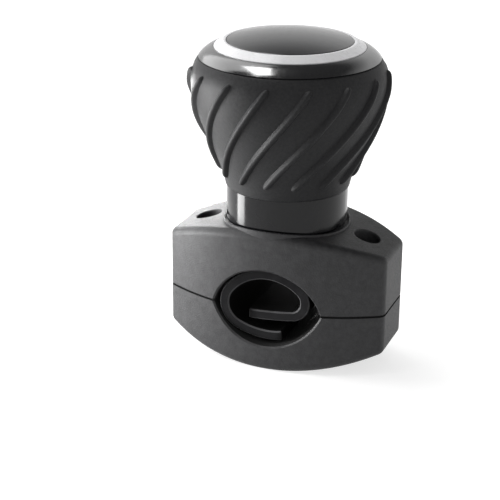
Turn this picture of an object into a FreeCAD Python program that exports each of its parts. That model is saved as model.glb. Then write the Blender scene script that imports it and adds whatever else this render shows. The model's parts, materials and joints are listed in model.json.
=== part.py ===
import FreeCAD, Part
import math
import os

from FreeCAD import Vector

# Steering wheel spinner knob, millimetres.
# Z runs up the knob's axis, X along the row of two clamp screws, and the opening runs through along Y.
# The origin is under the middle of the clamp, on the flat that it stands on.

X = Vector(1, 0, 0)
Y = Vector(0, 1, 0)
Z = Vector(0, 0, 1)
CENTRE = Vector(0, 0, 0)

# Clamp
CLAMP_LENGTH = 65.6
CLAMP_DEPTH = 37.2
CLAMP_END_DEPTH = 17.8
CLAMP_HEIGHT = 41.5
CROWN_DROP = 6.2
BELLY_RISE = 6.3
FOOT_WIDTH = 18.0
SEAM_HEIGHT = 18.0
SEAM_BEVEL_UPPER = 0.55
SEAM_BEVEL_LOWER = 0.12
CORNER_RADIUS = 2.6
EDGE_RADIUS = 2.3
MOUTH_WIDTH = 32.4
MOUTH_ABOVE_SEAM = 12.2
MOUTH_BELOW_SEAM = 10.8
MOUTH_BEVEL = 0.5

# Clamp screws and nuts
SCREW_INSET = 8.5
SCREW_DIAMETER = 4.0
SCREW_LENGTH = 25.0
SCREW_HEAD_DIAMETER = 7.0
SCREW_HEAD_HEIGHT = 4.0
SCREW_SOCKET = 3.0
SCREW_SOCKET_DEPTH = 2.0
SCREW_SEAT_HEIGHT = 30.5
SCREW_HOLE_DIAMETER = 4.4
SCREW_WELL_DIAMETER = 7.4
SCREW_WELL_ROUND = 0.35
NUT_WIDTH = 7.0
NUT_THICKNESS = 3.2
NUT_SEAT_HEIGHT = 12.0
THREAD_CLEARANCE = 0.05
HEX_CLEARANCE = 0.1
HEAD_EASE = 0.3

# Rubber strip coiled in the clamp's opening
STRIP_THICKNESS = 2.8
STRIP_WIDTH = 31.6
STRIP_BEVEL = 0.4
STRIP_FLOOR_GAP = 0.15
STRIP_ROOF_GAP = 0.7
STRIP_LEFT_TURN = 7.0
STRIP_RIGHT_TURN = 4.5
STRIP_RIGHT_START = 48.0
STRIP_LIFT_TURN = 17.5
STRIP_RUN_RADIUS = 22.0
STRIP_RUN_LENGTH = 14.0
STRIP_TAIL_SLOPE = 8.0
STRIP_TAIL_LENGTH = 13.0
STRIP_TAIL_RADIUS = 90.0

# Stud, its nuts and spacers
STUD_DIAMETER = 8.0
STUD_HOLE_DIAMETER = 8.2
STUD_LENGTH = 50.0
STUD_HEAD_WIDTH = 13.0
STUD_HEAD_HEIGHT = 5.3
STUD_SEAT_DEPTH = 4.6
STUD_CHAMFER = 0.8
WASHER_DIAMETER = 16.0
WASHER_THICKNESS = 1.6
JAM_NUT_HEIGHT = 4.0
SPACER_DIAMETER = 11.6
SPACER_THICKNESS = 1.0
SLEEVE_LENGTH = 14.0
LOCK_NUT_HEIGHT = 5.6
LOCK_COLLAR_HEIGHT = 2.4
LOCK_COLLAR_DIAMETER = 11.4

# Ball bearings
BEARING_OUTER = 22.0
BEARING_WIDTH = 7.0
INNER_RING_SHOULDER = 12.3
OUTER_RING_SHOULDER = 17.7
BALL_CIRCLE = 15.0
BALL_DIAMETER = 3.96
BALL_COUNT = 7
RACE_CLEARANCE = 0.05
CAGE_THICKNESS = 1.7
CAGE_BACK = 0.8
CAGE_FINGERS = 1.2
RING_CHAMFER = 0.3

# Circlips that hold the bearings in the knob core
CLIP_THICKNESS = 1.0
CLIP_DEPTH = 0.8
CLIP_WIDTH = 2.0
CLIP_GAP = 60.0

# Knob core and its collar
COLLAR_DIAMETER = 34.8
COLLAR_HEIGHT = 10.3
COLLAR_ROUND = 0.4
RECESS_DEPTH = 1.3
RECESS_GAP = 0.6
RECESS_CLEARANCE = 0.35
LIP_WIDTH = 0.7
LIP_HEIGHT = 0.7
LIP_ROUND = 0.3
LIP_ROOT = 4.0
CORE_WALL = 2.2
HUB_WALL = 2.4
HUB_TOP_MARGIN = 3.4
SHOULDER_STEP = 1.4
BORE_CLEARANCE = 0.02
CORE_WEB = 1.8
CORE_WEBS = 6
BOSS_DIAMETER = 5.2
SCREW_HEAD_ROOM = 0.25

# Rubber grip: its radii, and the share of its height at which each is reached
GRIP_HEIGHT = 36.8
GRIP_WALL = 2.8
GRIP_FIT = 0.05
GRIP_FOOT_RADIUS = 17.7
GRIP_THROAT_RADIUS = 19.1
GRIP_SHOULDER_RADIUS = 27.6
GRIP_FLANK_STEP = 4.4
GRIP_SWELL_STEP = 0.9
GRIP_CROWN_STEP = 0.4
GRIP_TOP_STEP = 2.1
THROAT_SHARE = 0.14
FLANK_SHARE = 0.40
SWELL_SHARE = 0.66
SHOULDER_SHARE = 0.80
CROWN_SHARE = 0.91
GRIP_EDGE_ROUND = 0.6

# Swirl ribs on the grip; starts, ends and steps are counted along its side curve from the foot
RIB_COUNT = 15
RIB_LEAN = 36.0
RIB_START = 3.4
RIB_END = 36.2
RIB_PHASE = -92.3
RIB_WIDTH = 3.6
RIB_CREST = 1.3
RIB_CREST_DROP = 0.4
RIB_HEIGHT = 1.2
RIB_ROOT = 1.1
RIB_SINK = 0.4
RIB_FADE = 0.09
RIB_END_WIDTH = 0.6
RIB_STEPS = 80
RIB_STATIONS = (0.0, 0.03, 0.08, 0.16, 0.3, 0.45, 0.6, 0.75, 0.87, 0.94, 0.98, 1.0)

# Bezel, trim ring and cap
BEZEL_RISE = 3.0
BEZEL_BULGE = 0.25
BEZEL_EDGE = 0.3
BEZEL_BAND = 4.3
BEZEL_PLATE = 1.9
BEZEL_BORE_STEP = 3.0
BEZEL_SKIRT = 2.0
BEZEL_SKIRT_WALL = 1.3
RING_WIDTH = 3.4
RING_LAND = 0.8
RING_EDGE_HEIGHT = 1.3
RING_RISE = 1.6
RING_FIT = 0.1
RING_ROUND = 0.25
CAP_DOME = 2.3
CAP_WALL = 1.5
CAP_FIT = 0.12
CAP_EDGE_ROUND = 0.3
SMALL_SCREW_DIAMETER = 2.2
SMALL_SCREW_LENGTH = 6.0
SMALL_SCREW_HEAD = 4.0
SMALL_SCREW_HEAD_HEIGHT = 1.3
SMALL_SCREW_CROWN = 2.4
SMALL_SCREW_SINK = 1.0
SMALL_SCREWS = 3
SMALL_SCREW_TURN = 30.0

# Places worked out from the sizes above
HALF_LENGTH = CLAMP_LENGTH / 2
SCREW_X = HALF_LENGTH - SCREW_INSET
RECESS_FLOOR = CLAMP_HEIGHT - RECESS_DEPTH
STUD_SEAT = RECESS_FLOOR - STUD_SEAT_DEPTH
JAM_NUT_SEAT = RECESS_FLOOR + WASHER_THICKNESS
SPACER_SEAT = JAM_NUT_SEAT + JAM_NUT_HEIGHT
LOWER_BEARING = SPACER_SEAT + SPACER_THICKNESS
SLEEVE_SEAT = LOWER_BEARING + BEARING_WIDTH
UPPER_BEARING = SLEEVE_SEAT + SLEEVE_LENGTH
TOP_SPACER_SEAT = UPPER_BEARING + BEARING_WIDTH
LOCK_NUT_SEAT = TOP_SPACER_SEAT + SPACER_THICKNESS
COLLAR_BOTTOM = RECESS_FLOOR + RECESS_GAP
GRIP_BOTTOM = COLLAR_BOTTOM + COLLAR_HEIGHT
GRIP_TOP = GRIP_BOTTOM + GRIP_HEIGHT
GRIP_TOP_RADIUS = GRIP_SHOULDER_RADIUS - GRIP_TOP_STEP
PLATE_TOP = GRIP_TOP + BEZEL_PLATE
RING_OUTER = GRIP_TOP_RADIUS - BEZEL_BAND
RING_INNER = RING_OUTER - RING_WIDTH
CAP_RADIUS = RING_INNER - CAP_FIT
BOSS_CIRCLE = CAP_RADIUS - CAP_WALL - SMALL_SCREW_HEAD / 2 - SCREW_HEAD_ROOM
BEZEL_BORE = BOSS_CIRCLE - SMALL_SCREW_HEAD / 2 - BEZEL_BORE_STEP
SADDLE_UP_RADIUS = ((MOUTH_WIDTH / 2) ** 2 + MOUTH_ABOVE_SEAM ** 2) / (2 * MOUTH_ABOVE_SEAM)
SADDLE_LOW_RADIUS = ((MOUTH_WIDTH / 2) ** 2 + MOUTH_BELOW_SEAM ** 2) / (2 * MOUTH_BELOW_SEAM)
SADDLE_UP_CENTRE = SEAM_HEIGHT + MOUTH_ABOVE_SEAM - SADDLE_UP_RADIUS
SADDLE_LOW_CENTRE = SEAM_HEIGHT - MOUTH_BELOW_SEAM + SADDLE_LOW_RADIUS


def line(a, b):
    return Part.LineSegment(a, b).toShape()


def arc(a, middle, b):
    return Part.Arc(a, middle, b).toShape()


def face_of(edges):
    return Part.Face(Part.Wire(edges))


def polygon(points):
    return Part.Face(Part.makePolygon(points + [points[0]]))


def turned(points):
    """A solid of revolution about Z from (radius, height) corners."""
    face = polygon([Vector(r, 0, z) for r, z in points])
    return face.revolve(CENTRE, Z, 360)


def tube(outer, inner, bottom, height):
    """A round tube, given by its diameters."""
    wall = Part.makeCylinder(outer / 2, height, Vector(0, 0, bottom))
    return wall.cut(Part.makeCylinder(inner / 2, height, Vector(0, 0, bottom)))


def hexagon(width, bottom, height, x=0.0):
    """An upright hexagonal prism of the given width across flats."""
    radius = width / math.sqrt(3)
    corners = [Vector(x + radius * math.cos(a), radius * math.sin(a), bottom)
               for a in (math.radians(60 * i) for i in range(6))]
    return polygon(corners).extrude(Z * height)


def hex_blank(width, bottom, height, x=0.0):
    """A hexagonal prism with its corners turned off at both faces."""
    radius = width / math.sqrt(3)
    slope = (radius - width / 2) * math.tan(math.radians(30))
    blank = turned([(0, 0), (width / 2, 0), (radius, slope), (radius, height - slope),
                    (width / 2, height), (0, height)])
    blank.translate(Vector(x, 0, bottom))
    return hexagon(width, bottom, height, x).common(blank)


def hex_nut(width, bore, bottom, height, x=0.0):
    hole = Part.makeCylinder(bore / 2, height, Vector(x, 0, bottom))
    return hex_blank(width, bottom, height, x).cut(hole)


def around(shape, count, start=0.0):
    """Copies of a shape, turned about the knob's axis."""
    copies = []
    for i in range(count):
        copy = shape.copy()
        copy.rotate(CENTRE, Z, start + 360.0 * i / count)
        copies.append(copy)
    return copies


# Clamp block, whole, before it is split at the seam
def clamp_block():
    half_depth = CLAMP_DEPTH / 2
    half_end = CLAMP_END_DEPTH / 2
    a = HALF_LENGTH
    plan = face_of([
        arc(Vector(-a, -half_end, -a), Vector(0, -half_depth, -a), Vector(a, -half_end, -a)),
        line(Vector(a, -half_end, -a), Vector(a, half_end, -a)),
        arc(Vector(a, half_end, -a), Vector(0, half_depth, -a), Vector(-a, half_end, -a)),
        line(Vector(-a, half_end, -a), Vector(-a, -half_end, -a)),
    ]).extrude(Z * (CLAMP_HEIGHT + 2 * a))
    upright = [e for e in plan.Edges if abs(e.tangentAt(e.FirstParameter).z) > 0.99]
    plan = plan.makeFillet(CORNER_RADIUS, upright)
    block = plan.common(side_prism())
    rims = [e for e in block.Edges
            if e.BoundBox.ZMin > CLAMP_HEIGHT - CROWN_DROP - 1 or e.BoundBox.ZMax < BELLY_RISE + 1]
    block = block.makeFillet(EDGE_RADIUS, rims)
    return block.cut(slab(-CLAMP_HEIGHT, CLAMP_HEIGHT))


def side_prism():
    """The clamp as seen from the front: a flat foot, a rising belly and a crowned top."""
    a = HALF_LENGTH
    foot = FOOT_WIDTH / 2
    belly_centre = (a ** 2 + BELLY_RISE ** 2 - foot ** 2) / (2 * BELLY_RISE)
    belly_radius = math.hypot(foot, belly_centre)
    belly_low = Vector(0, -a, belly_centre - belly_radius)
    return face_of([
        arc(Vector(-a, -a, BELLY_RISE), belly_low, Vector(a, -a, BELLY_RISE)),
        line(Vector(a, -a, BELLY_RISE), Vector(a, -a, CLAMP_HEIGHT - CROWN_DROP)),
        arc(Vector(a, -a, CLAMP_HEIGHT - CROWN_DROP), Vector(0, -a, CLAMP_HEIGHT),
            Vector(-a, -a, CLAMP_HEIGHT - CROWN_DROP)),
        line(Vector(-a, -a, CLAMP_HEIGHT - CROWN_DROP), Vector(-a, -a, BELLY_RISE)),
    ]).extrude(Y * (2 * a))


def slab(bottom, height):
    """A wide block that covers the whole plan of the clamp."""
    side = 2 * CLAMP_LENGTH
    return Part.makeBox(side, side, height, Vector(-side / 2, -side / 2, bottom))


def bevel_seam(half, size):
    """Bevels the outside edge of a clamp half where it meets the other half."""
    seam = [e for e in half.Edges
            if abs(e.BoundBox.ZMin - SEAM_HEIGHT) < 0.001 and abs(e.BoundBox.ZMax - SEAM_HEIGHT) < 0.001]
    return half.makeChamfer(size, seam)


def mouth():
    """The eye-shaped opening that takes the wheel's rim."""
    w = MOUTH_WIDTH / 2
    reach = CLAMP_DEPTH
    left = Vector(-w, -reach, SEAM_HEIGHT)
    right = Vector(w, -reach, SEAM_HEIGHT)
    top = Vector(0, -reach, SEAM_HEIGHT + MOUTH_ABOVE_SEAM)
    bottom = Vector(0, -reach, SEAM_HEIGHT - MOUTH_BELOW_SEAM)
    return face_of([arc(left, top, right), arc(right, bottom, left)]).extrude(Y * (2 * reach))


def bevel_mouth(half):
    """Bevels the front and back rims of the opening in a clamp half."""
    rims = [e for e in half.Edges if abs(e.BoundBox.XLength - MOUTH_WIDTH) < MOUTH_BEVEL]
    return half.makeChamfer(MOUTH_BEVEL, rims)


def lower_clamp_half():
    half = clamp_block().cut(slab(SEAM_HEIGHT, CLAMP_HEIGHT))
    half = bevel_seam(half, SEAM_BEVEL_LOWER).cut(mouth())
    half = bevel_mouth(half)
    for x in (-SCREW_X, SCREW_X):
        half = half.cut(Part.makeCylinder(SCREW_HOLE_DIAMETER / 2, CLAMP_HEIGHT, Vector(x, 0, 0)))
        half = half.cut(hexagon(NUT_WIDTH + HEX_CLEARANCE, 0, NUT_SEAT_HEIGHT, x))
    return half


def upper_clamp_half():
    half = clamp_block().cut(slab(SEAM_HEIGHT - CLAMP_HEIGHT, CLAMP_HEIGHT))
    half = bevel_seam(half, SEAM_BEVEL_UPPER).cut(mouth())
    half = bevel_mouth(half)
    wells = [Part.makeCylinder(SCREW_WELL_DIAMETER / 2, CLAMP_HEIGHT, Vector(x, 0, SCREW_SEAT_HEIGHT))
             for x in (-SCREW_X, SCREW_X)]
    half = half.cut(wells[0]).cut(wells[1])
    for x in (-SCREW_X, SCREW_X):
        rim = [e for e in half.Edges
               if e.isClosed() and e.BoundBox.ZMin > SCREW_SEAT_HEIGHT + SCREW_HEAD_HEIGHT / 2
               and abs(e.BoundBox.Center.x - x) < SCREW_WELL_DIAMETER / 2]
        half = half.makeFillet(SCREW_WELL_ROUND, rim)
        half = half.cut(Part.makeCylinder(SCREW_HOLE_DIAMETER / 2, CLAMP_HEIGHT, Vector(x, 0, 0)))
    half = half.fuse(recess_lip()).cut(wells[0]).cut(wells[1])
    half = half.cut(Part.makeCylinder(recess_radius(), CLAMP_HEIGHT, Vector(0, 0, RECESS_FLOOR)))
    half = half.cut(Part.makeCylinder(STUD_HOLE_DIAMETER / 2, CLAMP_HEIGHT, Vector(0, 0, SEAM_HEIGHT)))
    head = hexagon(STUD_HEAD_WIDTH + HEX_CLEARANCE, SEAM_HEIGHT, STUD_SEAT - SEAM_HEIGHT)
    return half.cut(head)


def recess_radius():
    return COLLAR_DIAMETER / 2 + RECESS_CLEARANCE


def recess_lip():
    """A raised rim on the crown, round the open recess in which the collar turns."""
    low = RECESS_FLOOR - LIP_ROOT
    crown = side_prism()
    crown.translate(Z * LIP_HEIGHT)
    lip = tube(2 * (recess_radius() + LIP_WIDTH), 2 * recess_radius(), low, CLAMP_HEIGHT).common(crown)
    rims = [e for e in lip.Edges if e.isClosed() and e.BoundBox.ZMin > low + LIP_ROOT / 2]
    return lip.makeFillet(LIP_ROUND, rims)


# Clamp hardware
def clamp_screw(x):
    seat = SCREW_SEAT_HEIGHT
    r = SCREW_DIAMETER / 2 - THREAD_CLEARANCE
    head = SCREW_HEAD_DIAMETER / 2
    top = seat + SCREW_HEAD_HEIGHT
    tip = seat - SCREW_LENGTH
    body = turned([(0, tip), (r - HEAD_EASE, tip), (r, tip + HEAD_EASE), (r, seat), (head, seat),
                   (head, top - HEAD_EASE), (head - HEAD_EASE, top), (0, top)])
    body.translate(X * x)
    socket = hexagon(SCREW_SOCKET, top - SCREW_SOCKET_DEPTH, SCREW_SOCKET_DEPTH, x)
    return body.cut(socket)


def clamp_nut(x):
    return hex_nut(NUT_WIDTH, SCREW_DIAMETER, NUT_SEAT_HEIGHT - NUT_THICKNESS, NUT_THICKNESS, x)


# Rubber strip
def rubber_strip():
    """One flat strip, coiled over the lower saddle, round the left, under the roof and back to the middle."""
    half = STRIP_THICKNESS / 2
    floor_radius = SADDLE_LOW_RADIUS - STRIP_FLOOR_GAP - half
    roof_radius = SADDLE_UP_RADIUS - STRIP_ROOF_GAP - half
    # The left turn touches both long arcs from inside
    reach_up = roof_radius - STRIP_LEFT_TURN
    reach_low = floor_radius - STRIP_LEFT_TURN
    span = SADDLE_LOW_CENTRE - SADDLE_UP_CENTRE
    rise = (reach_up ** 2 - reach_low ** 2 + span ** 2) / (2 * span)
    left_x = -math.sqrt(reach_up ** 2 - rise ** 2)
    left_z = SADDLE_UP_CENTRE + rise
    # The right turn leaves the roof arc at its own angle
    start = math.radians(STRIP_RIGHT_START)
    right_x = (roof_radius - STRIP_RIGHT_TURN) * math.cos(start)
    right_z = SADDLE_UP_CENTRE + (roof_radius - STRIP_RIGHT_TURN) * math.sin(start)
    up_left = math.degrees(math.atan2(left_z - SADDLE_UP_CENTRE, left_x))
    low_left = math.degrees(math.atan2(left_z - SADDLE_LOW_CENTRE, left_x)) + 360
    # The outer end lifts off the saddle after the left turn, and springs out to a flatter bend
    lift_angle = low_left + STRIP_LIFT_TURN
    lift = math.radians(lift_angle)
    run_x = left_x + (STRIP_LEFT_TURN - STRIP_RUN_RADIUS) * math.cos(lift)
    run_z = left_z + (STRIP_LEFT_TURN - STRIP_RUN_RADIUS) * math.sin(lift)
    run_turn = math.degrees(STRIP_RUN_LENGTH / STRIP_RUN_RADIUS)
    tail_angle = STRIP_TAIL_SLOPE - 90
    runs = [
        (run_x, run_z, STRIP_RUN_RADIUS, lift_angle + run_turn, lift_angle),
        (left_x, left_z, STRIP_LEFT_TURN, lift_angle, up_left),
        (0, SADDLE_UP_CENTRE, roof_radius, up_left, STRIP_RIGHT_START),
        (right_x, right_z, STRIP_RIGHT_TURN, STRIP_RIGHT_START, tail_angle),
    ]
    # The tail goes on from the right turn with a slow bend the same way
    leave = math.radians(tail_angle)
    away = STRIP_TAIL_RADIUS - STRIP_RIGHT_TURN
    tail_x = right_x - away * math.cos(leave)
    tail_z = right_z - away * math.sin(leave)
    tail_turn = math.degrees(STRIP_TAIL_LENGTH / STRIP_TAIL_RADIUS)
    runs.append((tail_x, tail_z, STRIP_TAIL_RADIUS, tail_angle, tail_angle - tail_turn))
    strip = None
    for x, z, radius, first, last in runs:
        piece = strip_run(x, z, radius, first, last, half)
        strip = piece if strip is None else strip.fuse(piece)
    strip = strip.removeSplitter()
    sides = [e for e in strip.Edges if e.BoundBox.YLength < STRIP_BEVEL]
    return strip.makeChamfer(STRIP_BEVEL, sides)


def strip_run(x, z, radius, first, last, half):
    """A stretch of the strip that follows one arc, between two angles in degrees."""
    def at(r, degrees):
        angle = math.radians(degrees)
        return Vector(x + r * math.cos(angle), -STRIP_WIDTH / 2, z + r * math.sin(angle))
    middle = (first + last) / 2
    outer = radius + half
    inner = radius - half
    face = face_of([
        arc(at(outer, first), at(outer, middle), at(outer, last)),
        line(at(outer, last), at(inner, last)),
        arc(at(inner, last), at(inner, middle), at(inner, first)),
        line(at(inner, first), at(outer, first)),
    ])
    return face.extrude(Y * STRIP_WIDTH)


# Stud and what is stacked on it
def stud():
    r = STUD_DIAMETER / 2
    tip = STUD_SEAT + STUD_LENGTH
    shank = turned([(0, STUD_SEAT), (r, STUD_SEAT), (r, tip - STUD_CHAMFER),
                    (r - STUD_CHAMFER, tip), (0, tip)])
    head = hex_blank(STUD_HEAD_WIDTH, STUD_SEAT - STUD_HEAD_HEIGHT, STUD_HEAD_HEIGHT)
    return shank.fuse(head)


def stud_washer():
    return tube(WASHER_DIAMETER, STUD_HOLE_DIAMETER, RECESS_FLOOR, WASHER_THICKNESS)


def jam_nut():
    return hex_nut(STUD_HEAD_WIDTH, STUD_DIAMETER, JAM_NUT_SEAT, JAM_NUT_HEIGHT)


def lock_nut():
    """A hexagonal nut with a round locking collar above it."""
    nut = hex_nut(STUD_HEAD_WIDTH, STUD_DIAMETER, LOCK_NUT_SEAT, LOCK_NUT_HEIGHT)
    collar = tube(LOCK_COLLAR_DIAMETER, STUD_DIAMETER, LOCK_NUT_SEAT + LOCK_NUT_HEIGHT, LOCK_COLLAR_HEIGHT)
    return nut.fuse(collar).removeSplitter()


# Bearings, built at their own bottom face
def race(bottom):
    """The groove that both rings share."""
    middle = Vector(0, 0, bottom + BEARING_WIDTH / 2)
    return Part.makeTorus(BALL_CIRCLE / 2, BALL_DIAMETER / 2 + RACE_CLEARANCE, middle)


def inner_ring(bottom):
    ring = tube(INNER_RING_SHOULDER, STUD_DIAMETER, bottom, BEARING_WIDTH)
    return ring.cut(race(bottom))


def outer_ring(bottom):
    r = BEARING_OUTER / 2
    c = RING_CHAMFER
    top = bottom + BEARING_WIDTH
    ring = turned([(OUTER_RING_SHOULDER / 2, bottom), (r - c, bottom), (r, bottom + c), (r, top - c),
                   (r - c, top), (OUTER_RING_SHOULDER / 2, top)])
    return ring.cut(race(bottom))


def balls(bottom):
    middle = Vector(BALL_CIRCLE / 2, 0, bottom + BEARING_WIDTH / 2)
    return Part.makeCompound(around(Part.makeSphere(BALL_DIAMETER / 2, middle), BALL_COUNT))


def cage(bottom):
    """A crown cage: one ring behind the balls, with fingers between them."""
    middle = bottom + BEARING_WIDTH / 2
    back = middle + BALL_DIAMETER / 2 + CAGE_BACK
    start = middle - CAGE_FINGERS
    crown = tube(BALL_CIRCLE + CAGE_THICKNESS, BALL_CIRCLE - CAGE_THICKNESS, start, back - start)
    pocket = Part.makeSphere(BALL_DIAMETER / 2 + 2 * RACE_CLEARANCE, Vector(BALL_CIRCLE / 2, 0, middle))
    return crown.cut(Part.makeCompound(around(pocket, BALL_COUNT)))


def circlip(bottom):
    """An internal retaining ring, open at its ears."""
    outer = BEARING_OUTER + 2 * CLIP_DEPTH
    ring = tube(outer, BEARING_OUTER - 2 * CLIP_WIDTH + 2 * CLIP_DEPTH, bottom, CLIP_THICKNESS)
    gap = Part.makeCylinder(outer, CLIP_THICKNESS, Vector(0, 0, bottom), Z, CLIP_GAP)
    gap.rotate(CENTRE, Z, -90 - CLIP_GAP / 2)
    return ring.cut(gap)


# Knob
def grip_side(inset):
    """The side curve of the grip, drawn in by inset, from its foot up to its top edge."""
    points = [
        (GRIP_FOOT_RADIUS, 0.0),
        (GRIP_THROAT_RADIUS, THROAT_SHARE),
        (GRIP_SHOULDER_RADIUS - GRIP_FLANK_STEP, FLANK_SHARE),
        (GRIP_SHOULDER_RADIUS - GRIP_SWELL_STEP, SWELL_SHARE),
        (GRIP_SHOULDER_RADIUS, SHOULDER_SHARE),
        (GRIP_SHOULDER_RADIUS - GRIP_CROWN_STEP, CROWN_SHARE),
        (GRIP_TOP_RADIUS, 1.0),
    ]
    curve = Part.BSplineCurve()
    curve.interpolate([Vector(r - inset, 0, GRIP_BOTTOM + GRIP_HEIGHT * share) for r, share in points])
    return curve


def curved_side(inset, inner):
    """A solid of revolution between the grip's side curve, drawn in by inset, and a plain inner radius."""
    curve = grip_side(inset)
    low = curve.StartPoint
    high = curve.EndPoint
    face = face_of([
        curve.toShape(),
        line(high, Vector(inner, 0, high.z)),
        line(Vector(inner, 0, high.z), Vector(inner, 0, low.z)),
        line(Vector(inner, 0, low.z), low),
    ])
    return face.revolve(CENTRE, Z, 360)


def rib(start_angle):
    """One swirl rib: it crosses the side of the grip at a constant lean and dies away at both ends."""
    side = grip_side(0)
    lean = math.radians(RIB_LEAN)
    points = side.discretize(Number=RIB_STEPS + 1)
    step = side.length() / RIB_STEPS
    angle = math.radians(start_angle)
    stations = []
    for i in range(1, RIB_STEPS):
        travelled = step * i
        if travelled >= RIB_START:
            angle += math.tan(lean) * step / points[i].x
        stations.append((travelled, points[i], points[i + 1] - points[i - 1], angle))
    sections = []
    for share in RIB_STATIONS:
        wanted = RIB_START + share * (RIB_END - RIB_START)
        station = min(stations, key=lambda s: abs(s[0] - wanted))
        sections.append(rib_section(station, share, lean))
    return Part.makeLoft(sections, True, False)


def rib_section(station, share, lean):
    """The outline of a rib across its own direction: a rooted base and a rounded crest."""
    point, along, angle = station[1:]
    radial = Vector(math.cos(angle), math.sin(angle), 0)
    around_axis = Vector(-math.sin(angle), math.cos(angle), 0)
    along.normalize()
    up_side = radial * along.x + Z * along.z
    normal = radial * along.z - Z * along.x
    across = around_axis * math.cos(lean) - up_side * math.sin(lean)
    fade = min(1.0, min(share, 1 - share) / RIB_FADE)
    full = math.sqrt(1 - (1 - fade) ** 2)
    height = RIB_HEIGHT * full - RIB_SINK * (1 - full)
    narrow = RIB_END_WIDTH + (1 - RIB_END_WIDTH) * full
    base = radial * point.x + Z * point.z
    foot = RIB_WIDTH / 2 * narrow
    crest = RIB_CREST / 2 * narrow

    def at(sideways, outward):
        return base + across * sideways + normal * outward

    edge = height - RIB_CREST_DROP
    return Part.Wire([
        line(at(-foot, -RIB_ROOT), at(foot, -RIB_ROOT)),
        line(at(foot, -RIB_ROOT), at(crest, edge)),
        arc(at(crest, edge), at(0, height), at(-crest, edge)),
        line(at(-crest, edge), at(-foot, -RIB_ROOT)),
    ])


def grip():
    """The rubber grip: a waisted sleeve with swirl ribs moulded on its side."""
    sleeve = curved_side(0, 0)
    rims = [e for e in sleeve.Edges
            if e.isClosed() and (e.BoundBox.ZMax < GRIP_BOTTOM + 0.001 or e.BoundBox.ZMin > GRIP_TOP - 0.001)]
    sleeve = sleeve.makeFillet(GRIP_EDGE_ROUND, rims)
    ribs = [rib(RIB_PHASE + 360.0 * i / RIB_COUNT) for i in range(RIB_COUNT)]
    sleeve = sleeve.fuse(ribs)
    return sleeve.cut(curved_side(GRIP_WALL, 0))


def knob_core():
    """The rigid core: a glossy collar, a shell under the rubber, and a hub that carries both bearings."""
    hub = BEARING_OUTER / 2 + HUB_WALL
    bore = BEARING_OUTER / 2 + BORE_CLEARANCE
    hub_top = TOP_SPACER_SEAT + HUB_TOP_MARGIN
    web_top = GRIP_TOP - BEZEL_SKIRT - 2 * BORE_CLEARANCE
    collar = Part.makeCylinder(COLLAR_DIAMETER / 2, COLLAR_HEIGHT, Vector(0, 0, COLLAR_BOTTOM))
    foot = [e for e in collar.Edges if e.BoundBox.ZMax < COLLAR_BOTTOM + 0.001]
    core = collar.makeFillet(COLLAR_ROUND, foot).fuse(curved_side(GRIP_WALL + GRIP_FIT, 0)).removeSplitter()
    hollow = curved_side(GRIP_WALL + CORE_WALL, 0)
    hollow = hollow.cut(Part.makeCylinder(hub, hub_top, CENTRE))
    web = Part.makeBox(GRIP_SHOULDER_RADIUS, CORE_WEB, web_top, Vector(0, -CORE_WEB / 2, 0))
    boss = Part.makeCylinder(BOSS_DIAMETER / 2, GRIP_TOP, Vector(BOSS_CIRCLE, 0, 0))
    bosses = Part.makeCompound(around(boss, SMALL_SCREWS, SMALL_SCREW_TURN))
    webs = Part.makeCompound(around(web, CORE_WEBS)).cut(Part.makeCylinder(bore, GRIP_TOP, CENTRE))
    core = core.cut(hollow.cut(webs).cut(bosses))
    core = core.cut(Part.makeCylinder(bore, SLEEVE_SEAT - COLLAR_BOTTOM, Vector(0, 0, COLLAR_BOTTOM)))
    core = core.cut(Part.makeCylinder(bore, GRIP_HEIGHT, Vector(0, 0, UPPER_BEARING)))
    core = core.cut(Part.makeCylinder(bore - SHOULDER_STEP, GRIP_HEIGHT, Vector(0, 0, COLLAR_BOTTOM)))
    groove = BEARING_OUTER / 2 + CLIP_DEPTH + BORE_CLEARANCE
    for bottom in (LOWER_BEARING - CLIP_THICKNESS, TOP_SPACER_SEAT):
        core = core.cut(Part.makeCylinder(groove, CLIP_THICKNESS, Vector(0, 0, bottom)))
    pilot = Part.makeCylinder(SMALL_SCREW_DIAMETER / 2 + THREAD_CLEARANCE, SMALL_SCREW_LENGTH,
                              Vector(BOSS_CIRCLE, 0, GRIP_TOP - SMALL_SCREW_LENGTH))
    return core.cut(Part.makeCompound(around(pilot, SMALL_SCREWS, SMALL_SCREW_TURN)))


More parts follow.
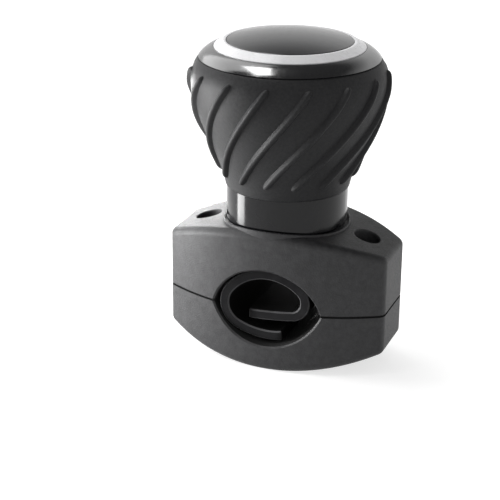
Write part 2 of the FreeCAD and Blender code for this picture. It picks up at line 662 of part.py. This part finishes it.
def bezel():
    """The glossy collar round the top, with a plate under the cap and a skirt that centres it in the core."""
    rim = GRIP_TOP_RADIUS
    seat = RING_OUTER + RING_FIT
    top = GRIP_TOP + BEZEL_RISE
    skirt = GRIP_TOP_RADIUS - GRIP_WALL - CORE_WALL - RING_FIT
    skirt_inner = skirt - BEZEL_SKIRT_WALL
    low = GRIP_TOP + BEZEL_EDGE
    high = seat + BEZEL_EDGE
    swell = Vector((rim + high) / 2 + BEZEL_BULGE, 0, (low + top) / 2 + BEZEL_BULGE)
    corners = [
        Vector(high, 0, top), Vector(seat, 0, top), Vector(seat, 0, PLATE_TOP),
        Vector(BEZEL_BORE, 0, PLATE_TOP), Vector(BEZEL_BORE, 0, GRIP_TOP),
        Vector(skirt_inner, 0, GRIP_TOP), Vector(skirt_inner, 0, GRIP_TOP - BEZEL_SKIRT),
        Vector(skirt, 0, GRIP_TOP - BEZEL_SKIRT), Vector(skirt, 0, GRIP_TOP),
        Vector(rim - BEZEL_EDGE, 0, GRIP_TOP), Vector(rim, 0, low),
    ]
    edges = [line(a, b) for a, b in zip(corners[:-1], corners[1:])]
    edges.append(arc(Vector(rim, 0, low), swell, Vector(high, 0, top)))
    shell = face_of(edges).revolve(CENTRE, Z, 360)
    hole = Part.makeCylinder(SMALL_SCREW_DIAMETER / 2 + THREAD_CLEARANCE, BEZEL_PLATE,
                             Vector(BOSS_CIRCLE, 0, GRIP_TOP))
    sink = Part.makeCylinder(SMALL_SCREW_HEAD / 2 + THREAD_CLEARANCE, SMALL_SCREW_SINK,
                             Vector(BOSS_CIRCLE, 0, PLATE_TOP - SMALL_SCREW_SINK))
    for cutter in (hole, sink):
        shell = shell.cut(Part.makeCompound(around(cutter, SMALL_SCREWS, SMALL_SCREW_TURN)))
    return shell


def bezel_screws():
    seat = PLATE_TOP - SMALL_SCREW_SINK
    r = SMALL_SCREW_DIAMETER / 2
    tip = seat - SMALL_SCREW_LENGTH
    head = SMALL_SCREW_HEAD / 2
    top = seat + SMALL_SCREW_HEAD_HEIGHT
    screw = turned([(0, tip), (r, tip + r), (r, seat), (head, seat),
                    (head, seat + SMALL_SCREW_HEAD_HEIGHT / 2), (SMALL_SCREW_CROWN / 2, top), (0, top)])
    screw.translate(X * BOSS_CIRCLE)
    return Part.makeCompound(around(screw, SMALL_SCREWS, SMALL_SCREW_TURN))


def trim_ring():
    """A white ring whose top slopes outward from a narrow land."""
    edge = PLATE_TOP + RING_EDGE_HEIGHT
    top = edge + RING_RISE
    ring = turned([(RING_INNER, PLATE_TOP), (RING_OUTER, PLATE_TOP), (RING_OUTER, edge),
                   (RING_INNER + RING_LAND, top), (RING_INNER, top)])
    crest = [e for e in ring.Edges if e.isClosed() and e.BoundBox.ZMin > PLATE_TOP + RING_ROUND]
    return ring.makeFillet(RING_ROUND, crest)


def dome_cap():
    """The shallow domed cap, hollow below, whose skirt stands inside the trim ring."""
    r = CAP_RADIUS
    edge = PLATE_TOP + RING_EDGE_HEIGHT + RING_RISE
    height = edge + CAP_DOME - PLATE_TOP
    bend = (r ** 2 + CAP_DOME ** 2) / (2 * CAP_DOME)
    centre = Vector(0, 0, edge + CAP_DOME - bend)
    body = Part.makeCylinder(r, height, Vector(0, 0, PLATE_TOP)).common(Part.makeSphere(bend, centre))
    rim = [e for e in body.Edges
           if e.isClosed() and e.BoundBox.ZMin > edge - CAP_DOME and e.BoundBox.ZMax < edge + CAP_DOME / 2]
    body = body.makeFillet(CAP_EDGE_ROUND, rim)
    room = Part.makeCylinder(r - CAP_WALL, height, Vector(0, 0, PLATE_TOP))
    return body.cut(room.common(Part.makeSphere(bend - CAP_WALL, centre)))


PARTS = {
    "lower_clamp_half": lower_clamp_half,
    "upper_clamp_half": upper_clamp_half,
    "rubber_strip": rubber_strip,
    "clamp_screw_left": lambda: clamp_screw(-SCREW_X),
    "clamp_screw_right": lambda: clamp_screw(SCREW_X),
    "clamp_nut_left": lambda: clamp_nut(-SCREW_X),
    "clamp_nut_right": lambda: clamp_nut(SCREW_X),
    "stud": stud,
    "stud_washer": stud_washer,
    "jam_nut": jam_nut,
    "lower_spacer": lambda: tube(SPACER_DIAMETER, STUD_HOLE_DIAMETER, SPACER_SEAT, SPACER_THICKNESS),
    "spacer_sleeve": lambda: tube(SPACER_DIAMETER, STUD_HOLE_DIAMETER, SLEEVE_SEAT, SLEEVE_LENGTH),
    "upper_spacer": lambda: tube(SPACER_DIAMETER, STUD_HOLE_DIAMETER, TOP_SPACER_SEAT, SPACER_THICKNESS),
    "lock_nut": lock_nut,
    "lower_inner_ring": lambda: inner_ring(LOWER_BEARING),
    "lower_outer_ring": lambda: outer_ring(LOWER_BEARING),
    "lower_balls": lambda: balls(LOWER_BEARING),
    "lower_cage": lambda: cage(LOWER_BEARING),
    "upper_inner_ring": lambda: inner_ring(UPPER_BEARING),
    "upper_outer_ring": lambda: outer_ring(UPPER_BEARING),
    "upper_balls": lambda: balls(UPPER_BEARING),
    "upper_cage": lambda: cage(UPPER_BEARING),
    "lower_circlip": lambda: circlip(LOWER_BEARING - CLIP_THICKNESS),
    "upper_circlip": lambda: circlip(TOP_SPACER_SEAT),
    "knob_core": knob_core,
    "grip": grip,
    "bezel": bezel,
    "bezel_screws": bezel_screws,
    "trim_ring": trim_ring,
    "dome_cap": dome_cap,
}

os.makedirs("parts", exist_ok=True)
for name, build in PARTS.items():
    shape = build()
    shape.exportStep(os.path.join("parts", name + ".step"))
    print(name, round(shape.Volume), len(shape.Solids), shape.isValid())
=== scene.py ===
import json
import math

import bpy
from mathutils import Matrix, Vector

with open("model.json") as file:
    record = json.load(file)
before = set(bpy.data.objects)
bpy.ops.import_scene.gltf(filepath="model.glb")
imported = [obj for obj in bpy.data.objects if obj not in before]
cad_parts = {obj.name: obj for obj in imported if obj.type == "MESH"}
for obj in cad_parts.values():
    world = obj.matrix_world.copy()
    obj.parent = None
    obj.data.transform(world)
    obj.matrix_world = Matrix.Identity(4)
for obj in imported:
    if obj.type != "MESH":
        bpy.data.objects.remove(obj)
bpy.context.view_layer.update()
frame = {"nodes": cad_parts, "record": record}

nodes = frame["nodes"]

# Millimetres to metres
MM = 0.001

# The photograph's view: the camera looks from the right and above at the foot of the collar
IMAGE_SIZE = 500
SENSOR_MM = 36.0
AIM = Vector((0, 0, 41.5 * MM))
CAMERA_DISTANCE = 429.2 * MM
CAMERA_ELEVATION = 19.96
CAMERA_AZIMUTH = 19.51
CAMERA_TURN = 1.40
CAMERA_TILT = -1.43
CAMERA_ROLL = -1.04
FOCAL_PIXELS = 1484.4
CLIP_START = 0.01
CLIP_END = 10

# Pairs of the darkest and the lightest colour
CLAMP_GREYS = ((0.020, 0.020, 0.021), (0.044, 0.044, 0.046))
# Painted shade: the near black laid on the clamp inside its opening and along its seam
PAINTED_SHADE_BLACKS = ((0.003, 0.003, 0.003), (0.004, 0.004, 0.004))
GLOSS_BLACKS = ((0.006, 0.006, 0.007), (0.010, 0.010, 0.011))
TRIM_WHITES = ((0.70, 0.70, 0.71), (0.77, 0.77, 0.78))
GRIP_BLACKS = ((0.009, 0.009, 0.010), (0.030, 0.030, 0.031))
# Painted shade: the near black of the strip's faces that don't face the front or back, and of its ends
STRIP_SHADE_BLACKS = ((0.002, 0.002, 0.002), (0.003, 0.003, 0.003))
# Painted highlight: the lighter grey along the rims of the strip's cut edges
PAINTED_HIGHLIGHT_GREYS = ((0.070, 0.070, 0.072), (0.110, 0.110, 0.113))
CUT_BLACKS = ((0.012, 0.012, 0.013), (0.024, 0.024, 0.025))
CAGE_IVORIES = ((0.66, 0.62, 0.50), (0.76, 0.72, 0.62))

# Gloss blacks: specular level, and the lowest and highest roughness
GLOSSES = {
    "gloss_black": (1.0, 0.13, 0.20),
    "collar_black": (0.15, 0.10, 0.16),
    "cap_black": (0.35, 0.17, 0.24),
}
GLOSS_IOR = 1.75

# Metals: darkest and lightest colour, and the lowest and highest roughness
METALS = {
    "black_steel": (((0.05, 0.05, 0.052), (0.09, 0.09, 0.093)), 0.28, 0.42),
    "zinc_steel": (((0.52, 0.52, 0.54), (0.66, 0.66, 0.68)), 0.25, 0.4),
    "bearing_steel": (((0.7, 0.7, 0.72), (0.78, 0.78, 0.8)), 0.08, 0.15),
}

# The collar and the cap are a little less glossy than the bezel
OWN_MATERIALS = {"knob_core": "collar_black", "dome_cap": "cap_black"}

# Where shade is painted on the clamp, in millimetres: inside its opening, and along the seam
MOUTH_REACH = 17.6
MOUTH_MIDDLE = 18.7
MOUTH_RISE = 13.0
MOUTH_SOFT = 0.2
SEAM_MIDDLE = 18.2
SEAM_SHADE = 0.45
SEAM_SOFT = 0.15

# The ends of the rubber strip, where shade is painted on, in millimetres: X, its reach, Z and its reach
STRIP_ENDS = ((-6.5, 3.6, 15.6, 2.4), (5.4, 2.8, 8.2, 3.0))
STRIP_END_SOFT_X = 2.5
STRIP_END_SOFT_Z = 0.4

# How squarely a surface faces the front where these begin and where they are complete
WALL_FACING = (0.3, 0.5)
RIM_FACING = (0.45, 0.55)
CUT_FACING = (0.85, 0.95)

# The colour sockets of a mix node
MIX_FIRST = 6
MIX_SECOND = 7
MIX_RESULT = 2

# The usual ends of a noise field
NOISE_LOW = 0.3
NOISE_HIGH = 0.7

# The glow of the surround, and of the room above the backdrop
WORLD_LIGHT = 0.34
ROOM_LIGHT = 0.08

# Sines of the elevations at which the backdrop ends and the room is as dim as it gets
BACKDROP_TOP = 0.45
ROOM_START = 0.75

# The floor reaches this far to each side, in metres
FLOOR_REACH = 3.0
FLOOR_GREY = 0.5
FLOOR_ROUGHNESS = 0.9

# The floor's own glow, near the object and where the lamps no longer reach, and those distances in metres
FLOOR_LIFT = 0.7
FLOOR_LIFT_FAR = 1.0
FLOOR_NEAR = 0.12
FLOOR_FAR = 0.6

# The floor lies a hair under the foot, so that no two faces share a plane
FLOOR_DROP = 0.03 * MM

# Softboxes: degrees to the left of the camera, elevation, distance, width and height in metres, watts
SOFTBOXES = {
    "window": (130, 42, 0.75, 0.55, 0.70, 2.1),
    "overhead": (98, 71, 0.75, 0.44, 0.20, 2.5),
    "low": (87, -3, 0.40, 0.22, 0.07, 0.85),
    "back": (160, -2, 0.13, 0.14, 0.016, 0.16),
    "card": (92, -4, 0.125, 0.04, 0.09, 0.19),
}
LAMP_TARGET = Vector((0, 0, 55 * MM))


def direction(azimuth, elevation):
    """The way from the object to a place that many degrees right of the front and above the floor."""
    turn = math.radians(azimuth)
    rise = math.radians(elevation)
    return Vector((math.cos(rise) * math.sin(turn), -math.cos(rise) * math.cos(turn), math.sin(rise)))


def make_camera():
    azimuth = math.radians(CAMERA_AZIMUTH)
    place = CAMERA_DISTANCE * direction(CAMERA_AZIMUTH, CAMERA_ELEVATION)
    ahead = -place.normalized()
    right = Vector((math.cos(azimuth), math.sin(azimuth), 0))
    up = right.cross(ahead)
    turn = Matrix.Rotation(math.radians(CAMERA_TURN), 3, up)
    ahead = turn @ ahead
    right = turn @ right
    tilt = Matrix.Rotation(math.radians(CAMERA_TILT), 3, right)
    ahead = tilt @ ahead
    up = tilt @ up
    roll = Matrix.Rotation(math.radians(CAMERA_ROLL), 3, ahead)
    right = roll @ right
    up = roll @ up
    data = bpy.data.cameras.new("camera")
    data.sensor_width = SENSOR_MM
    data.lens = FOCAL_PIXELS * SENSOR_MM / IMAGE_SIZE
    data.clip_start = CLIP_START
    data.clip_end = CLIP_END
    camera = bpy.data.objects.new("camera", data)
    bpy.context.scene.collection.objects.link(camera)
    axes = Matrix((right, up, -ahead)).transposed().to_4x4()
    camera.matrix_world = Matrix.Translation(AIM + place) @ axes
    bpy.context.scene.camera = camera


# Node helpers
def new_material(name):
    material = bpy.data.materials.new(name)
    material.use_nodes = True
    tree = material.node_tree
    return material, tree, tree.nodes["Principled BSDF"]


def add(tree, kind, **values):
    node = tree.nodes.new(kind)
    for key, value in values.items():
        setattr(node, key, value)
    return node


def position(tree, kind="Object"):
    """The X, Y and Z of a point on the piece in metres, or of another kind of coordinate."""
    place = add(tree, "ShaderNodeTexCoord")
    split = add(tree, "ShaderNodeSeparateXYZ")
    tree.links.new(place.outputs[kind], split.inputs["Vector"])
    return split.outputs


def noise(tree, scale, detail=3.0, roughness=0.55):
    """Noise laid on the piece in metres, so that its grain has a real size."""
    place = add(tree, "ShaderNodeTexCoord")
    field = add(tree, "ShaderNodeTexNoise")
    field.inputs["Scale"].default_value = scale
    field.inputs["Detail"].default_value = detail
    field.inputs["Roughness"].default_value = roughness
    tree.links.new(place.outputs["Object"], field.inputs["Vector"])
    return field.outputs["Fac"]


def spread(tree, value, low, high, start=NOISE_LOW, end=NOISE_HIGH):
    """Maps a value to a range of numbers."""
    node = add(tree, "ShaderNodeMapRange")
    node.inputs["From Min"].default_value = start
    node.inputs["From Max"].default_value = end
    node.inputs["To Min"].default_value = low
    node.inputs["To Max"].default_value = high
    tree.links.new(value, node.inputs["Value"])
    return node.outputs["Result"]


def tint(tree, value, colours, start=NOISE_LOW, end=NOISE_HIGH):
    """Maps a value to a range between two colours."""
    ramp = add(tree, "ShaderNodeValToRGB")
    for element, place, colour in zip(ramp.color_ramp.elements, (start, end), colours):
        element.position = place
        element.color = (*colour, 1)
    tree.links.new(value, ramp.inputs["Fac"])
    return ramp.outputs["Color"]


def combine(tree, operation, first, second):
    node = add(tree, "ShaderNodeMath", operation=operation)
    tree.links.new(first, node.inputs[0])
    tree.links.new(second, node.inputs[1])
    return node.outputs["Value"]


def magnitude(tree, value):
    node = add(tree, "ShaderNodeMath", operation="ABSOLUTE")
    tree.links.new(value, node.inputs[0])
    return node.outputs["Value"]


def blend(tree, share, first, second):
    mix = add(tree, "ShaderNodeMix", data_type="RGBA")
    tree.links.new(share, mix.inputs["Factor"])
    tree.links.new(first, mix.inputs[MIX_FIRST])
    tree.links.new(second, mix.inputs[MIX_SECOND])
    return mix.outputs[MIX_RESULT]


def band(tree, value, middle, reach, soft):
    """1 where a coordinate is within a reach of a middle, both in millimetres, and 0 outside."""
    away = add(tree, "ShaderNodeMath", operation="SUBTRACT")
    tree.links.new(value, away.inputs[0])
    away.inputs[1].default_value = middle * MM
    distance = magnitude(tree, away.outputs["Value"])
    return spread(tree, distance, 1.0, 0.0, (reach - soft) * MM, reach * MM)


def facing_front(tree):
    """1 on surfaces that face straight to the front or back, and 0 on those that run through the clamp."""
    geometry = add(tree, "ShaderNodeNewGeometry")
    split = add(tree, "ShaderNodeSeparateXYZ")
    tree.links.new(geometry.outputs["Normal"], split.inputs["Vector"])
    return magnitude(tree, split.outputs["Y"])


def seen_directly(tree):
    """1 where a surface is seen directly, in a reflection or through glass, and 0 for diffuse light."""
    path = add(tree, "ShaderNodeLightPath")
    value = path.outputs["Is Camera Ray"]
    for ray in ("Is Glossy Ray", "Is Transmission Ray"):
        value = combine(tree, "MAXIMUM", value, path.outputs[ray])
    return value


def finish_surface(tree, shader, colour, roughness, heights, specular=0.5):
    """Gives a shader its colour, roughness and bumps, coarsest first: field, strength, distance in metres."""
    tree.links.new(colour, shader.inputs["Base Color"])
    tree.links.new(roughness, shader.inputs["Roughness"])
    shader.inputs["Specular IOR Level"].default_value = specular
    before = None
    for field, strength, distance in heights:
        node = add(tree, "ShaderNodeBump")
        node.inputs["Strength"].default_value = strength
        node.inputs["Distance"].default_value = distance
        tree.links.new(field, node.inputs["Height"])
        if before is not None:
            tree.links.new(before.outputs["Normal"], node.inputs["Normal"])
        before = node
    tree.links.new(before.outputs["Normal"], shader.inputs["Normal"])


# Materials
def clamp_painted_shade(tree):
    """1 on the walls of the clamp's opening and along its seam, where shade is painted black."""
    place = position(tree)
    across = band(tree, place["X"], 0, MOUTH_REACH, MOUTH_SOFT)
    upward = band(tree, place["Z"], MOUTH_MIDDLE, MOUTH_RISE, MOUTH_SOFT)
    wall = spread(tree, facing_front(tree), 1.0, 0.0, *WALL_FACING)
    mouth = combine(tree, "MULTIPLY", combine(tree, "MULTIPLY", across, upward), wall)
    seam = band(tree, place["Z"], SEAM_MIDDLE, SEAM_SHADE, SEAM_SOFT)
    return combine(tree, "MAXIMUM", mouth, seam)


def clamp_plastic():
    material, tree, shader = new_material("clamp_plastic")
    cloud = noise(tree, 420, 6.0, 0.7)
    grain = noise(tree, 2600, 2.0)
    shade = clamp_painted_shade(tree)
    # Painted shade: the clamp turns near black inside its opening and along its seam
    colour = blend(tree, shade, tint(tree, cloud, CLAMP_GREYS), tint(tree, cloud, PAINTED_SHADE_BLACKS))
    roughness = combine(tree, "MAXIMUM", spread(tree, grain, 0.44, 0.60), shade)
    heights = [(noise(tree, 380), 0.2, 0.0002), (grain, 0.8, 0.00012)]
    finish_surface(tree, shader, colour, roughness, heights, 0.36)
    return material


def gloss_black(name):
    specular, smooth, rough = GLOSSES[name]
    material, tree, shader = new_material(name)
    colour = tint(tree, noise(tree, 90), GLOSS_BLACKS)
    roughness = spread(tree, noise(tree, 700, 5.0), smooth, rough)
    heights = [(noise(tree, 110), 0.08, 0.0002), (noise(tree, 1900, 3.0), 0.05, 0.00003)]
    finish_surface(tree, shader, colour, roughness, heights, specular)
    shader.inputs["IOR"].default_value = GLOSS_IOR
    return material


def trim_white():
    material, tree, shader = new_material("trim_white")
    colour = tint(tree, noise(tree, 120), TRIM_WHITES)
    roughness = spread(tree, noise(tree, 900), 0.24, 0.34)
    finish_surface(tree, shader, colour, roughness, [(noise(tree, 150), 0.06, 0.0002)], 0.3)
    return material


def grip_rubber():
    material, tree, shader = new_material("grip_rubber")
    cloud = noise(tree, 75, 5.0)
    speck = noise(tree, 1300, 4.0, 0.7)
    grain = noise(tree, 3000, 2.0)
    tone = combine(tree, "MULTIPLY", spread(tree, cloud, 0.7, 1.0), spread(tree, speck, 0.6, 1.0))
    colour = tint(tree, tone, GRIP_BLACKS, 0.4, 1.0)
    roughness = spread(tree, cloud, 0.46, 0.58)
    heights = [(noise(tree, 260), 0.12, 0.0002), (speck, 0.4, 0.00008), (grain, 0.6, 0.00008)]
    finish_surface(tree, shader, colour, roughness, heights, 0.2)
    return material


def strip_rubber():
    """Painted shade in matt black inside, dark cut edges at front and back, a lighter line along their rims
    that is a painted highlight, and painted shade towards both ends of the strip.
    """
    material, tree, shader = new_material("strip_rubber")
    cloud = noise(tree, 130, 4.0)
    facing = facing_front(tree)
    rim = spread(tree, facing, 0.0, 1.0, *RIM_FACING)
    cut = spread(tree, facing, 0.0, 1.0, *CUT_FACING)
    # Painted shade: near black on the faces that don't face the front or back
    painted_shade = tint(tree, cloud, STRIP_SHADE_BLACKS)
    # Painted highlight: a lighter grey along the rims of the cut edges
    painted_highlight = tint(tree, cloud, PAINTED_HIGHLIGHT_GREYS)
    bare = tint(tree, cloud, CUT_BLACKS)
    colour = blend(tree, cut, blend(tree, rim, painted_shade, painted_highlight), bare)
    place = position(tree)
    # Painted shade: the strip darkens towards both of its ends
    for x, reach_x, z, reach_z in STRIP_ENDS:
        across = band(tree, place["X"], x, reach_x, STRIP_END_SOFT_X)
        upward = band(tree, place["Z"], z, reach_z, STRIP_END_SOFT_Z)
        colour = blend(tree, combine(tree, "MULTIPLY", across, upward), colour, painted_shade)
    roughness = spread(tree, rim, 1.0, 0.42, 0.0, 1.0)
    heights = [(noise(tree, 420), 0.12, 0.0002), (noise(tree, 2400), 0.2, 0.00005)]
    finish_surface(tree, shader, colour, roughness, heights, 0.06)
    return material


def metal(name):
    colours, smooth, rough = METALS[name]
    material, tree, shader = new_material(name)
    cloud = noise(tree, 900, 4.0)
    shader.inputs["Metallic"].default_value = 1.0
    roughness = spread(tree, cloud, smooth, rough)
    finish_surface(tree, shader, tint(tree, cloud, colours), roughness, [(cloud, 0.1, 0.00005)])
    return material


def cage_plastic():
    material, tree, shader = new_material("cage_plastic")
    cloud = noise(tree, 300)
    colour = tint(tree, cloud, CAGE_IVORIES)
    finish_surface(tree, shader, colour, spread(tree, cloud, 0.35, 0.5), [(cloud, 0.1, 0.0001)])
    return material


def dress():
    """Gives each piece the material of its slot, or its own one."""
    materials = {
        "clamp_plastic": clamp_plastic(),
        "trim_white": trim_white(),
        "grip_rubber": grip_rubber(),
        "strip_rubber": strip_rubber(),
        "cage_plastic": cage_plastic(),
    }
    for name in GLOSSES:
        materials[name] = gloss_black(name)
    for name in METALS:
        materials[name] = metal(name)
    for part in frame["record"]["subparts"]:
        node = part["node"]
        mesh = nodes[node].data
        mesh.materials.clear()
        mesh.materials.append(materials[OWN_MATERIALS.get(node, part["material_slot"])])


# Floor, surround and lamps
def make_floor():
    mesh = bpy.data.meshes.new("floor")
    outline = ((-1, -1), (1, -1), (1, 1), (-1, 1))
    corners = [(x * FLOOR_REACH, y * FLOOR_REACH, -FLOOR_DROP) for x, y in outline]
    mesh.from_pydata(corners, [], [(0, 1, 2, 3)])
    floor = bpy.data.objects.new("floor", mesh)
    bpy.context.scene.collection.objects.link(floor)
    material, tree, shader = new_material("floor")
    shader.inputs["Base Color"].default_value = (FLOOR_GREY, FLOOR_GREY, FLOOR_GREY, 1)
    shader.inputs["Roughness"].default_value = FLOOR_ROUGHNESS
    shader.inputs["Emission Color"].default_value = (1, 1, 1, 1)
    place = add(tree, "ShaderNodeTexCoord")
    away = add(tree, "ShaderNodeVectorMath", operation="LENGTH")
    tree.links.new(place.outputs["Object"], away.inputs[0])
    lift = spread(tree, away.outputs["Value"], FLOOR_LIFT, FLOOR_LIFT_FAR, FLOOR_NEAR, FLOOR_FAR)
    glow = combine(tree, "MULTIPLY", seen_directly(tree), lift)
    tree.links.new(glow, shader.inputs["Emission Strength"])
    mesh.materials.append(material)


def make_world():
    """A soft grey surround, seen as white up to the top of a backdrop and as a dimmer room above it."""
    world = bpy.data.worlds.new("studio")
    world.use_nodes = True
    tree = world.node_tree
    glow = tree.nodes["Background"]
    glow.inputs["Color"].default_value = (1, 1, 1, 1)
    glow.inputs["Strength"].default_value = WORLD_LIGHT
    seen = add(tree, "ShaderNodeBackground")
    seen.inputs["Color"].default_value = (1, 1, 1, 1)
    height = position(tree, "Generated")["Z"]
    backdrop = spread(tree, height, 1.0, ROOM_LIGHT, BACKDROP_TOP, ROOM_START)
    camera_ray = add(tree, "ShaderNodeLightPath").outputs["Is Camera Ray"]
    tree.links.new(combine(tree, "MAXIMUM", backdrop, camera_ray), seen.inputs["Strength"])
    mix = add(tree, "ShaderNodeMixShader")
    tree.links.new(seen_directly(tree), mix.inputs["Fac"])
    tree.links.new(glow.outputs["Background"], mix.inputs[1])
    tree.links.new(seen.outputs["Background"], mix.inputs[2])
    tree.links.new(mix.outputs["Shader"], tree.nodes["World Output"].inputs["Surface"])
    bpy.context.scene.world = world


def softbox(name, left, elevation, distance, width, height, power):
    """A rectangular lamp aimed at the object, placed by its direction as seen from the object."""
    away = direction(CAMERA_AZIMUTH - left, elevation)
    data = bpy.data.lights.new(name, "AREA")
    data.shape = "RECTANGLE"
    data.size = width
    data.size_y = height
    data.energy = power
    lamp = bpy.data.objects.new(name, data)
    lamp.location = LAMP_TARGET + distance * away
    lamp.rotation_euler = (-away).to_track_quat("-Z", "Y").to_euler()
    bpy.context.scene.collection.objects.link(lamp)


make_camera()
dress()
make_floor()
make_world()
for name, setting in SOFTBOXES.items():
    softbox(name, *setting)
bpy.context.scene.view_settings.view_transform = "Standard"
